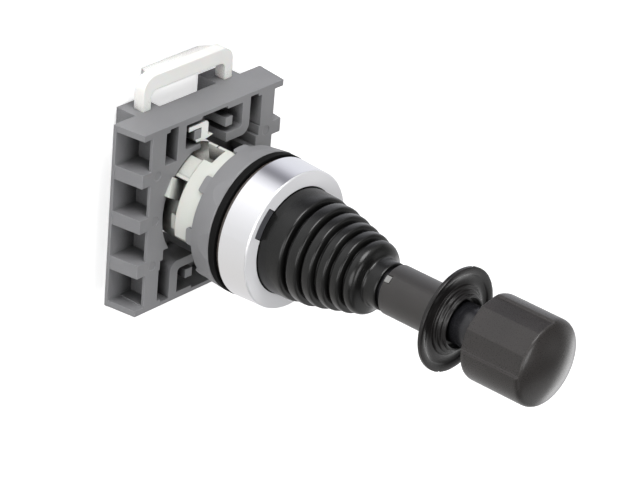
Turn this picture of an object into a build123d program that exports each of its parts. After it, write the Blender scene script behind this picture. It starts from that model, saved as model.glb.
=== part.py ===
from build123d import *
import os
from math import acos, degrees

os.makedirs("parts", exist_ok=True)

# Industrial joystick operator for a round panel hole, with a contact block holder behind it.
# The z axis is the lever at rest, z = 0 is the face that seats on the panel, and +Y is the
# side of the locking clip. All sizes are millimetres.

# Fits and clearances
running_fit = 0.04
slide_fit = 0.08
seat_gap = 0.1
side_play = 0.15

# Neck, drum and tail of the body
neck_r = 11.0
neck_top = 6.0
neck_wall = 1.6
bore_r = neck_r - neck_wall
drum_step = 2.7
drum_r = neck_r + drum_step
drum_top = -5.2
drum_back = -10.5
tail_r = neck_r - 0.9
tail_back = -19.0
bore_ledge = 0.5
lower_bore_r = bore_r - bore_ledge
ledge_z = -8.6
cap_seat_z = -17.3
cap_thickness = 1.0
cap_ring_height = 0.6
ring_notch = 4.0
cap_r = lower_bore_r + 0.5
# Azimuths at which the drum's parts start; each part has a twin on the opposite side
cutaway_start = 10
cutaway_angle = 88.5
pocket_start = 101
pocket_angle = 17
pocket_top = -8.0
# Blocks and thin walls on the tail, each with its start and angle
end_wall_arc = (98.5, 2.5)
end_wall_back = -12.7
long_block_arc = (118, 20)
long_block_r = drum_r - 0.7
long_block_back = -14.6
web_arc = (138, 3)
web_r = drum_r - 0.4
short_block_arc = (174, 15)
short_block_r = drum_r - 1.3
short_block_back = -12.3
fin_azimuth = 151.5
fin_width = 4.0
fin_height = 1.2
fin_r = drum_r + 0.4

# Clamping ring behind the panel
nut_wall = 1.3
nut_r = drum_r + nut_wall
nut_taper = 0.6
nut_back_r = nut_r - nut_taper
nut_back = drum_top + seat_gap
nut_flat_r = nut_r - 0.35
tab_count = 8
tab_azimuth = 2
tab_height = 1.4
tab_width = 3.6
tab_corner_r = 0.5
tab_inner_r = drum_r + side_play

# Boot, bezel, base ring and gasket in front of the panel
boot_base_r = neck_r + 0.1
clamp_width = 2.1
recess_r = boot_base_r + clamp_width
boot_flange_r = recess_r - 0.3
bezel_wall = 1.3
bezel_front_r = recess_r + bezel_wall
bezel_taper = 0.3
bezel_r = bezel_front_r + bezel_taper
base_r = bezel_r - 0.45
gasket_r = bezel_r + 0.1
gasket_top = 1.5
base_top = gasket_top + 1.1
bezel_top = 9.45
bezel_lip = 0.85
bezel_edge = 0.25
gate_thickness = 0.8
gate_top = neck_top + gate_thickness
boot_flange_height = 0.8
clamp_bottom = gate_top + boot_flange_height
window_azimuth = 145
window_width = 6.4

# Tilting joint
pivot_z = 2.5
shaft_r = 2.5
pin_r = 0.7
ring_inner_r = 4.0
ring_outer_r = 6.6
ring_half_height = 1.3
gate_half = 4.1
plunger_r = 1.3
plunger_collar_r = 2.2
plunger_pitch_r = lower_bore_r - plunger_collar_r - 0.5
foot_r = plunger_pitch_r + plunger_r + seat_gap
foot_top = -1.1
foot_bottom = -2.3
stub_r = 1.8
stub_end = -3.4
clip_r = 2.6
clip_height = 0.6
clip_groove_r = 1.5

# Plungers that pass the tilt on to the contact blocks
plunger_top = foot_bottom - 0.6
plunger_end = -20.6
plunger_collar_top = -11.2
plunger_collar_bottom = -12.0
spring_wire = 0.7
centring_spring_r = plunger_pitch_r - plunger_r - spring_wire / 2 - 0.45
guide_top = -7.0
guide_boss_r = centring_spring_r - spring_wire / 2 - side_play
guide_boss_height = 0.8
plunger_spring_r = 1.8
plunger_spring_wire = 0.36

# Boot: front corner of each fold, and how far it is set in from the base
boot_wall = 0.9
boot_folds = [(15.1, 0.15), (18.7, 0.65), (21.7, 1.35), (24.6, 2.1), (27.5, 2.9), (30.3, 3.6)]
valley_width = 1.0
valley_depth = 1.7
shoulder_z = 31.0
boot_neck_r = 5.0
boot_top = 34.1

# Guide tube and interlock collar on the lever
tube_lower_r = 3.3
tube_upper_r = tube_lower_r + 1.0
tube_step_z = 49.0
tube_bottom = 31.7
tube_flange_r = 4.2
tube_flange_top = 35.1
tube_top = 59.6
collar_r = tube_upper_r + 0.85
collar_shoulder_z = 38.5
disc_bottom = 49.6
disc_top = 50.5
disc_r = 10.7
disc_rim = 0.5
dish_depth = 0.35
ridge_r = disc_r - 1.55
ridge_width = 0.5
ridge_height = 0.3
notch_azimuth = 69
notch_r = 0.45
hub_base_r = disc_r - 2.5
hub_top_r = hub_base_r - 2.0
hub_top = 52.2
hub_bore_r = hub_top_r - 0.8
hub_bore_z = 51.0
key_width = 1.4
key_height = 1.2
key_azimuth = 132
collar_spring_wire = 0.5
collar_spring_r = tube_upper_r - collar_spring_wire / 2 - 0.2

# Knob
knob_r = 8.96
knob_bottom = 58.1
knob_apex = 76.9
knob_dome_r = 13.8
knob_edge_r = 3.0
knob_rim_r = 0.9
shaft_top = 69.0
insert_r = 3.9
insert_top = 69.5
grip_azimuth = 133
grip_bottom = 59.6
grip_top = 72.3
grip_floor_r = 9.6
grip_depth = 1.1
grip_half_width = 6.3

# Contact block holder
holder_front = -13.65
holder_back = -21.1
holder_half_y = 20.05
holder_body_x = 17.47
flange_front_x = 19.86
flange_back_x = 20.9
flange_thickness = 1.33
rib_pitch = 10.0
rib_thickness = 2.98
back_plate = 0.8
front_strip = 0.7
side_recess_depth = 3.2
mark_x = 15.6
mark_r = 1.0
mark_depth = 0.12
window_floor = -19.9
opening_r = drum_r - 0.2
passage_r = tail_r + seat_gap
window_half_x = 8.1
window_notch_y = holder_half_y - 0.85
window_high_y = window_notch_y - 0.6
window_height = 5.4
window_low_y = window_high_y - window_height
limb_x = 10.3
slot_x = 13.7
slot_low_y = window_low_y - 1.6
slot_notch = 2.4
arm_low_y = window_low_y - 1.95
arm_end_x = 3.7
arm_bend_r = 2.2
arm_root_r = 0.8
bar_low_y = window_low_y - 1.0
cavity_x = 12.7
cavity_y = arm_low_y - 3.85
cavity_step_x = 13.4
cavity_step_y = arm_low_y - 1.65
peg_x = 4.5
peg_y = window_low_y + 2.3
peg_wide = 1.9
peg_high = 1.95
peg_top = -13.9
ear_inner_x = 8.15
ear_outer_x = 14.95
ear_low_y = arm_low_y + 0.25
ear_back = -26.2

# Index clip on the upper left peg
index_back = -18.0
index_height = 4.0
index_head = 1.0
index_foot = 0.45
index_arm = 1.5
index_width = 2.0
index_nose = 1.6

# Locking clip
leg_inner_x = 10.55
leg_outer_x = 12.65
leg_front = holder_back - seat_gap
leg_back = -23.8
bail_gap = 3.85
bail_width = 3.15
bail_inner_y = holder_half_y + bail_gap
bail_outer_y = bail_inner_y + bail_width
bail_inner_bend = 1.6
bail_outer_bend = 3.0
tab_back = -26.8
tab_rise = 0.9
tab_drop = 0.9
tab_half_width = 7.8
clip_travel = 3.0
barb_top_y = ear_low_y - clip_travel - seat_gap
barb_length = 1.5
leg_end_y = barb_top_y - barb_length
barb_reach = 1.0


# Seat gasket, the face that meets the panel
with BuildPart() as seat_gasket:
    with BuildSketch():
        Circle(gasket_r)
        Circle(neck_r, mode=Mode.SUBTRACT)
    extrude(amount=gasket_top)
seat_gasket.part.label = "seat_gasket"
export_step(seat_gasket.part, "parts/seat_gasket.step")


# Base ring that the bezel bears on
with BuildPart() as base_ring:
    with BuildSketch(Plane.XY.offset(gasket_top)):
        Circle(base_r)
        Circle(neck_r, mode=Mode.SUBTRACT)
    extrude(amount=base_top - gasket_top)
    chamfer(base_ring.edges().group_by(Axis.Z)[0].sort_by(SortBy.LENGTH)[-1], 0.3)
base_ring.part.label = "base_ring"
export_step(base_ring.part, "parts/base_ring.step")


# Bezel ring, screwed on the neck, with a face lip over the clamp ring and two windows in it
with BuildPart() as bezel_ring:
    with BuildSketch(Plane.XZ):
        with BuildLine():
            Polyline(
                (neck_r, base_top),
                (bezel_r, base_top),
                (bezel_front_r, bezel_top - bezel_edge),
                (bezel_front_r - bezel_edge, bezel_top),
                (boot_base_r + 0.2, bezel_top),
                (boot_base_r + 0.2, bezel_top - bezel_lip),
                (recess_r, bezel_top - bezel_lip),
                (recess_r, neck_top),
                (neck_r, neck_top),
                close=True,
            )
        make_face()
    revolve(axis=Axis.Z)
    with BuildSketch(Plane.XY.offset(bezel_top - bezel_lip)):
        with PolarLocations(recess_r, 2, start_angle=window_azimuth):
            Rectangle(2 * clamp_width + 1, window_width)
        Circle(recess_r - seat_gap, mode=Mode.INTERSECT)
    extrude(amount=bezel_lip, mode=Mode.SUBTRACT)
bezel_ring.part.label = "bezel_ring"
export_step(bezel_ring.part, "parts/bezel_ring.step")


# Clamp ring over the boot flange, with two tabs that show in the bezel
with BuildPart() as boot_clamp:
    with BuildSketch(Plane.XY.offset(clamp_bottom)):
        Circle(recess_r - seat_gap)
        Circle(boot_base_r + seat_gap, mode=Mode.SUBTRACT)
    extrude(amount=bezel_top - bezel_lip - clamp_bottom)
    with BuildSketch(Plane.XY.offset(bezel_top - bezel_lip)):
        with PolarLocations(recess_r, 2, start_angle=window_azimuth):
            Rectangle(2 * clamp_width + 1, window_width - 2 * side_play)
        Circle(recess_r - 2 * seat_gap, mode=Mode.INTERSECT)
        Circle(boot_base_r + seat_gap, mode=Mode.SUBTRACT)
    extrude(amount=bezel_lip - seat_gap)
boot_clamp.part.label = "boot_clamp"
export_step(boot_clamp.part, "parts/boot_clamp.step")


# Gate plate: its square opening stops the lever at the ends of its travel
with BuildPart() as gate_plate:
    with BuildSketch(Plane.XY.offset(neck_top)):
        Circle(boot_flange_r)
        RectangleRounded(2 * gate_half, 2 * gate_half, 1.0, mode=Mode.SUBTRACT)
    extrude(amount=gate_top - neck_top)
gate_plate.part.label = "gate_plate"
export_step(gate_plate.part, "parts/gate_plate.step")


# Body: threaded neck through the panel, drum behind it and tail into the holder
with BuildPart() as body_bushing:
    with BuildSketch(Plane.XZ):
        with BuildLine():
            Polyline(
                (bore_r, neck_top),
                (neck_r, neck_top),
                (neck_r, drum_top),
                (drum_r, drum_top),
                (drum_r, drum_back + 0.4),
                (drum_r - 0.4, drum_back),
                (tail_r, drum_back),
                (tail_r, tail_back),
                (cap_r, tail_back),
                (cap_r, cap_seat_z),
                (lower_bore_r, cap_seat_z),
                (lower_bore_r, ledge_z),
                (bore_r, ledge_z),
                close=True,
            )
        make_face()
    revolve(axis=Axis.Z)
    # Two quarters of the drum are cut back to the tail, and so is a pocket in each of the others
    cuts = [(cutaway_start, cutaway_angle, drum_top), (pocket_start, pocket_angle, pocket_top)]
    for start, angle, front in cuts:
        with BuildSketch(Plane.XY.offset(drum_back)):
            for azimuth in (start, start + 180):
                with BuildLine():
                    outer = CenterArc((0, 0), drum_r + drum_step, azimuth, angle)
                    inner = CenterArc((0, 0), tail_r, azimuth, angle)
                    Line(outer @ 0, inner @ 0)
                    Line(outer @ 1, inner @ 1)
                make_face()
        extrude(amount=front - drum_back, mode=Mode.SUBTRACT)
    # Blocks and thin walls on the tail behind the drum
    blocks = [
        (end_wall_arc, drum_r, end_wall_back),
        (long_block_arc, long_block_r, long_block_back),
        (web_arc, web_r, long_block_back),
        (short_block_arc, short_block_r, short_block_back),
    ]
    for (start, angle), reach, rear in blocks:
        with BuildSketch(Plane.XY.offset(rear)):
            for azimuth in (start, start + 180):
                with BuildLine():
                    outer = CenterArc((0, 0), reach, azimuth, angle)
                    inner = CenterArc((0, 0), (tail_r + lower_bore_r) / 2, azimuth, angle)
                    Line(outer @ 0, inner @ 0)
                    Line(outer @ 1, inner @ 1)
                make_face()
        extrude(amount=drum_back - rear)
    # Fins with a sloping front edge, standing on the front of the holder
    for azimuth in (fin_azimuth, fin_azimuth + 180):
        radial = Vector(1, 0, 0).rotate(Axis.Z, azimuth)
        tangent = radial.rotate(Axis.Z, 90)
        with BuildSketch(Plane(radial * (tail_r - seat_gap), x_dir=tangent, z_dir=radial)):
            with BuildLine():
                Polyline(
                    (-fin_width / 2, holder_front),
                    (fin_width / 2, holder_front),
                    (fin_width / 2, holder_front + fin_height),
                    (-fin_width / 2, holder_front + fin_height / 6),
                    close=True,
                )
            make_face()
        extrude(amount=fin_r - tail_r + seat_gap)
    with Locations(Plane.YZ * Location((0, pivot_z, 0))):
        Cylinder(pin_r, 2 * neck_r + 2, mode=Mode.SUBTRACT)
body_bushing.part.label = "body_bushing"
export_step(body_bushing.part, "parts/body_bushing.step")


# Clamping ring, tapering towards the rear, with eight flats and a castellation on each
with BuildPart() as clamp_nut:
    with BuildSketch(Plane.XZ):
        with BuildLine():
            Polyline(
                (neck_r, 0),
                (nut_r - 0.3, 0),
                (nut_r, -0.3),
                (nut_back_r, nut_back),
                (neck_r, nut_back),
                close=True,
            )
        make_face()
    revolve(axis=Axis.Z)
    with BuildSketch(Plane.XY.offset(nut_back)):
        RegularPolygon(nut_flat_r, tab_count, major_radius=False, rotation=tab_azimuth + 180 / tab_count)
    extrude(amount=-nut_back, mode=Mode.INTERSECT)
    with BuildSketch(Plane.XY.offset(nut_back - tab_height)):
        with PolarLocations((tab_inner_r + nut_back_r) / 2, tab_count, start_angle=tab_azimuth):
            Rectangle(nut_back_r - tab_inner_r + 1, tab_width)
        Circle(nut_back_r, mode=Mode.INTERSECT)
        Circle(tab_inner_r, mode=Mode.SUBTRACT)
    extrude(amount=tab_height)
    tab_corners = clamp_nut.edges().group_by(Axis.Z)[0].filter_by(GeomType.LINE)
    fillet(tab_corners, tab_corner_r)
clamp_nut.part.label = "clamp_nut"
export_step(clamp_nut.part, "parts/clamp_nut.step")


# Pair of pivot pins along X, pressed into the neck
with BuildPart() as pivot_pins:
    with BuildSketch(Plane.YZ.offset(ring_inner_r + 0.6)):
        with Locations((0, pivot_z)):
            Circle(pin_r)
    extrude(amount=neck_r - 0.1 - ring_inner_r - 0.6)
    mirror(about=Plane.YZ)
pivot_pins.part.label = "pivot_pins"
export_step(pivot_pins.part, "parts/pivot_pins.step")


# Gimbal ring, turning on the pivot pins and carrying the cross pin
with BuildPart() as gimbal_ring:
    with BuildSketch(Plane.XY.offset(pivot_z - ring_half_height)):
        Circle(ring_outer_r)
        Circle(ring_inner_r, mode=Mode.SUBTRACT)
    extrude(amount=2 * ring_half_height)
    chamfer(gimbal_ring.edges().filter_by(GeomType.CIRCLE).sort_by(SortBy.LENGTH)[-2:], 0.3)
    with Locations(Plane.YZ * Location((0, pivot_z, 0)), Plane.XZ * Location((0, pivot_z, 0))):
        Cylinder(pin_r + running_fit, 2 * ring_outer_r + 1, mode=Mode.SUBTRACT)
gimbal_ring.part.label = "gimbal_ring"
export_step(gimbal_ring.part, "parts/gimbal_ring.step")


# Cross pin through the lever along Y
with BuildPart() as cross_pin:
    with Locations(Plane.XZ * Location((0, pivot_z, 0))):
        Cylinder(pin_r, 2 * ring_outer_r - 0.2)
cross_pin.part.label = "cross_pin"
export_step(cross_pin.part, "parts/cross_pin.step")


# Lever shaft, with a stub for the actuator foot and a thread end in the knob
with BuildPart() as lever_shaft:
    with BuildSketch(Plane.XZ):
        with BuildLine():
            Polyline(
                (0, stub_end),
                (stub_r - 0.2, stub_end),
                (stub_r, stub_end + 0.2),
                (stub_r, foot_bottom - clip_height),
                (clip_groove_r, foot_bottom - clip_height),
                (clip_groove_r, foot_bottom),
                (stub_r, foot_bottom),
                (stub_r, foot_top),
                (shaft_r, foot_top),
                (shaft_r, shaft_top - 0.5),
                (shaft_r - 0.5, shaft_top),
                (0, shaft_top),
                close=True,
            )
        make_face()
    revolve(axis=Axis.Z)
    with Locations(Plane.XZ * Location((0, pivot_z, 0))):
        Cylinder(pin_r, 3 * shaft_r, mode=Mode.SUBTRACT)
lever_shaft.part.label = "lever_shaft"
export_step(lever_shaft.part, "parts/lever_shaft.step")


# Actuator foot, the disc under the joint that works the plungers
with BuildPart() as actuator_foot:
    with BuildSketch(Plane.XY.offset(foot_bottom)):
        Circle(foot_r)
        Circle(stub_r, mode=Mode.SUBTRACT)
    extrude(amount=foot_top - foot_bottom)
    fillet(actuator_foot.edges().group_by(Axis.Z)[0].sort_by(SortBy.LENGTH)[-1], 0.4)
actuator_foot.part.label = "actuator_foot"
export_step(actuator_foot.part, "parts/actuator_foot.step")


# Retaining clip that holds the foot on the stub
with BuildPart() as foot_clip:
    with BuildSketch(Plane.XY.offset(foot_bottom - clip_height)):
        Circle(clip_r)
        Circle(clip_groove_r, mode=Mode.SUBTRACT)
        with Locations((clip_r, 0)):
            Rectangle(2 * clip_r, 1.6, mode=Mode.SUBTRACT)
    extrude(amount=clip_height)
foot_clip.part.label = "foot_clip"
export_step(foot_clip.part, "parts/foot_clip.step")


# Guide plate on the ledge of the bore, with a boss for the centring spring
with BuildPart() as guide_plate:
    with BuildSketch(Plane.XY.offset(ledge_z)):
        Circle(bore_r)
        with PolarLocations(plunger_pitch_r, 4):
            Circle(plunger_r + running_fit, mode=Mode.SUBTRACT)
    extrude(amount=guide_top - ledge_z)
    with BuildSketch(Plane.XY.offset(guide_top)):
        Circle(guide_boss_r)
        Circle(guide_boss_r - 1.2, mode=Mode.SUBTRACT)
    extrude(amount=guide_boss_height)
guide_plate.part.label = "guide_plate"
export_step(guide_plate.part, "parts/guide_plate.step")


# Rear cap of the body and the ring that keeps it in
with BuildPart() as rear_cap:
    with BuildSketch(Plane.XY.offset(cap_seat_z - cap_thickness)):
        Circle(cap_r)
        with PolarLocations(plunger_pitch_r, 4):
            Circle(plunger_r + running_fit, mode=Mode.SUBTRACT)
    extrude(amount=cap_thickness)
rear_cap.part.label = "rear_cap"
export_step(rear_cap.part, "parts/rear_cap.step")

with BuildPart() as cap_ring:
    with BuildSketch(Plane.XY.offset(cap_seat_z - cap_thickness - cap_ring_height)):
        Circle(cap_r)
        Circle(lower_bore_r, mode=Mode.SUBTRACT)
        with Locations((0, -cap_r)):
            Rectangle(ring_notch, 4 * (cap_r - lower_bore_r), mode=Mode.SUBTRACT)
    extrude(amount=cap_ring_height)
cap_ring.part.label = "cap_ring"
export_step(cap_ring.part, "parts/cap_ring.step")


# Four plungers, each with its return spring drawn as a plain sleeve
plunger_places = {"right": (1, 0), "top": (0, 1), "left": (-1, 0), "bottom": (0, -1)}
for side, (step_x, step_y) in plunger_places.items():
    centre = (plunger_pitch_r * step_x, plunger_pitch_r * step_y)
    with BuildPart() as plunger:
        with BuildSketch(Plane.XY.offset(plunger_end)):
            with Locations(centre):
                Circle(plunger_r)
        extrude(amount=plunger_top - plunger_end)
        fillet(plunger.edges().group_by(Axis.Z)[-1], plunger_r - 0.05)
        chamfer(plunger.edges().group_by(Axis.Z)[0], 0.3)
        with BuildSketch(Plane.XY.offset(plunger_collar_bottom)):
            with Locations(centre):
                Circle(plunger_collar_r)
        extrude(amount=plunger_collar_top - plunger_collar_bottom)
    plunger.part.label = "plunger_" + side
    export_step(plunger.part, "parts/plunger_" + side + ".step")

    with BuildPart() as plunger_spring:
        with BuildSketch(Plane.XY.offset(cap_seat_z)):
            with Locations(centre):
                Circle(plunger_spring_r + plunger_spring_wire / 2)
                Circle(plunger_spring_r - plunger_spring_wire / 2, mode=Mode.SUBTRACT)
        extrude(amount=plunger_collar_bottom - cap_seat_z)
    plunger_spring.part.label = "plunger_spring_" + side
    export_step(plunger_spring.part, "parts/plunger_spring_" + side + ".step")


# Centring spring between the guide plate and the foot, drawn as a plain sleeve
with BuildPart() as centring_spring:
    with BuildSketch(Plane.XY.offset(guide_top)):
        Circle(centring_spring_r + spring_wire / 2)
        Circle(centring_spring_r - spring_wire / 2, mode=Mode.SUBTRACT)
    extrude(amount=foot_bottom - guide_top)
centring_spring.part.label = "centring_spring"
export_step(centring_spring.part, "parts/centring_spring.step")


# Rubber boot: flange under the clamp ring, six stepped folds and a neck on the guide tube
outer_line = [(boot_flange_r, gate_top), (boot_flange_r, clamp_bottom), (boot_base_r, clamp_bottom)]
inner_line = [(boot_base_r - boot_wall, gate_top), (boot_base_r - boot_wall, clamp_bottom)]
for (fold_z, step_in), (_, next_step) in zip(boot_folds, boot_folds[1:]):
    outer_line.append((boot_base_r - step_in, fold_z))
    outer_line.append((boot_base_r - step_in - valley_depth, fold_z + valley_width / 2))
    outer_line.append((boot_base_r - next_step - 0.1, fold_z + valley_width))
    inner_line.append((boot_base_r - step_in - valley_depth - boot_wall, fold_z))
last_z, last_step = boot_folds[-1]
outer_line.append((boot_base_r - last_step, last_z - 0.8))
outer_line.append((boot_base_r - last_step - 0.8, last_z + 0.3))
outer_line.append((boot_neck_r + 0.3, shoulder_z))
outer_line.append((boot_neck_r, shoulder_z + 0.4))
outer_line.append((boot_neck_r, boot_top))
outer_line.append((tube_lower_r, boot_top))
inner_line.append((boot_base_r - last_step - boot_wall, last_z - boot_wall))
inner_line.append((tube_lower_r, shoulder_z - 0.2))
inner_line.reverse()
with BuildPart() as boot:
    with BuildSketch(Plane.XZ):
        with BuildLine():
            Polyline(*outer_line, *inner_line, close=True)
        make_face()
    revolve(axis=Axis.Z)
boot.part.label = "boot"
export_step(boot.part, "parts/boot.step")


# Guide tube pressed on the shaft, with the flange that the collar rests on
with BuildPart() as guide_tube:
    with BuildSketch(Plane.XZ):
        with BuildLine():
            Polyline(
                (shaft_r, tube_bottom),
                (tube_lower_r, tube_bottom),
                (tube_lower_r, boot_top),
                (tube_flange_r, boot_top),
                (tube_flange_r, tube_flange_top),
                (tube_lower_r, tube_flange_top),
                (tube_lower_r, tube_step_z),
                (tube_upper_r, tube_step_z),
                (tube_upper_r, tube_top),
                (shaft_r, tube_top),
                close=True,
            )
        make_face()
    revolve(axis=Axis.Z)
guide_tube.part.label = "guide_tube"
export_step(guide_tube.part, "parts/guide_tube.step")


# Key on the tube flange that the collar drops over
with BuildPart() as collar_key:
    with BuildSketch(Plane.XY.offset(tube_flange_top)):
        with PolarLocations(collar_r, 1, start_angle=key_azimuth):
            Rectangle(2 * (collar_r - tube_lower_r), key_width)
        Circle(collar_r - side_play, mode=Mode.INTERSECT)
        Circle(tube_lower_r, mode=Mode.SUBTRACT)
    extrude(amount=key_height)
collar_key.part.label = "collar_key"
export_step(collar_key.part, "parts/collar_key.step")


# Interlock collar: sleeve, pull disc and hub in one piece
collar_bottom = tube_flange_top + 0.05
with BuildPart() as collar:
    with BuildSketch(Plane.XZ):
        with BuildLine():
            Polyline(
                (tube_lower_r + slide_fit, collar_bottom),
                (collar_r, collar_bottom),
                (collar_r, disc_bottom),
                (disc_r, disc_bottom),
                (disc_r, disc_top),
                (disc_r - disc_rim, disc_top),
                (disc_r - disc_rim - 0.2, disc_top - dish_depth),
                (ridge_r + ridge_width, disc_top - dish_depth),
                (ridge_r + ridge_width / 2, disc_top - dish_depth + ridge_height),
                (ridge_r - ridge_width / 2, disc_top - dish_depth + ridge_height),
                (ridge_r - ridge_width, disc_top - dish_depth),
                (hub_base_r, disc_top - dish_depth),
                (hub_top_r, hub_top),
                (hub_bore_r, hub_top),
                (hub_bore_r, hub_bore_z),
                (tube_upper_r + slide_fit, hub_bore_z),
                (tube_upper_r + slide_fit, collar_shoulder_z),
                (tube_lower_r + slide_fit, collar_shoulder_z),
                close=True,
            )
        make_face()
    revolve(axis=Axis.Z)
    with BuildSketch(Plane.XY.offset(collar_bottom)):
        with PolarLocations(collar_r, 1, start_angle=key_azimuth):
            Rectangle(2 * collar_r - 2, key_width + 2 * side_play)
    extrude(amount=key_height + side_play, mode=Mode.SUBTRACT)
    with BuildSketch(Plane.XY.offset(disc_bottom)):
        with PolarLocations(disc_r, 2, start_angle=notch_azimuth):
            Circle(notch_r)
    extrude(amount=disc_top - disc_bottom, mode=Mode.SUBTRACT)
    fillet(collar.edges().filter_by(GeomType.CIRCLE).filter_by_position(Axis.Z, disc_bottom - 0.01,
           disc_bottom + 0.01).sort_by(SortBy.RADIUS)[-2:], 0.25)
collar.part.label = "collar"
export_step(collar.part, "parts/collar.step")


# Collar spring inside the sleeve, drawn as a plain sleeve
with BuildPart() as collar_spring:
    with BuildSketch(Plane.XY.offset(collar_shoulder_z)):
        Circle(collar_spring_r + collar_spring_wire / 2)
        Circle(collar_spring_r - collar_spring_wire / 2, mode=Mode.SUBTRACT)
    extrude(amount=tube_step_z - collar_shoulder_z)
collar_spring.part.label = "collar_spring"
export_step(collar_spring.part, "parts/collar_spring.step")


# Threaded insert moulded in the knob
with BuildPart() as knob_insert:
    with BuildSketch(Plane.XY.offset(tube_top)):
        Circle(insert_r)
        Circle(shaft_r, mode=Mode.SUBTRACT)
    extrude(amount=insert_top - tube_top)
knob_insert.part.label = "knob_insert"
export_step(knob_insert.part, "parts/knob_insert.step")


# Knob: cylinder with a low dome and two shallow finger grips on opposite sides
with BuildPart() as knob:
    dome_angle = degrees(acos(knob_r / knob_dome_r))
    with BuildSketch(Plane.XZ):
        with BuildLine():
            dome = CenterArc((0, knob_apex - knob_dome_r), knob_dome_r, dome_angle, 90 - dome_angle)
            Polyline(
                dome @ 1,
                (0, insert_top),
                (insert_r, insert_top),
                (insert_r, tube_top),
                (tube_upper_r, tube_top),
                (tube_upper_r, knob_bottom),
                (knob_r, knob_bottom),
                dome @ 0,
            )
        make_face()
    revolve(axis=Axis.Z)
    rims = knob.edges().filter_by(GeomType.CIRCLE)
    rims = rims.filter_by(lambda edge: abs(edge.radius - knob_r) < 0.01).sort_by(Axis.Z)
    fillet(rims[-1], knob_edge_r)
    fillet(knob.edges().group_by(Axis.Z)[0].sort_by(SortBy.RADIUS)[-1], knob_rim_r)
    for azimuth in (grip_azimuth, grip_azimuth + 180):
        with BuildSketch(Plane.XY.offset(grip_bottom)):
            with PolarLocations(knob_r, 1, start_angle=azimuth):
                Rectangle(knob_r, 2 * grip_half_width)
            with PolarLocations(grip_floor_r + grip_depth - knob_r, 1, start_angle=azimuth + 180):
                Circle(grip_floor_r, mode=Mode.SUBTRACT)
        extrude(amount=grip_top - grip_bottom, mode=Mode.SUBTRACT)
knob.part.label = "knob"
export_step(knob.part, "parts/knob.step")


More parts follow.
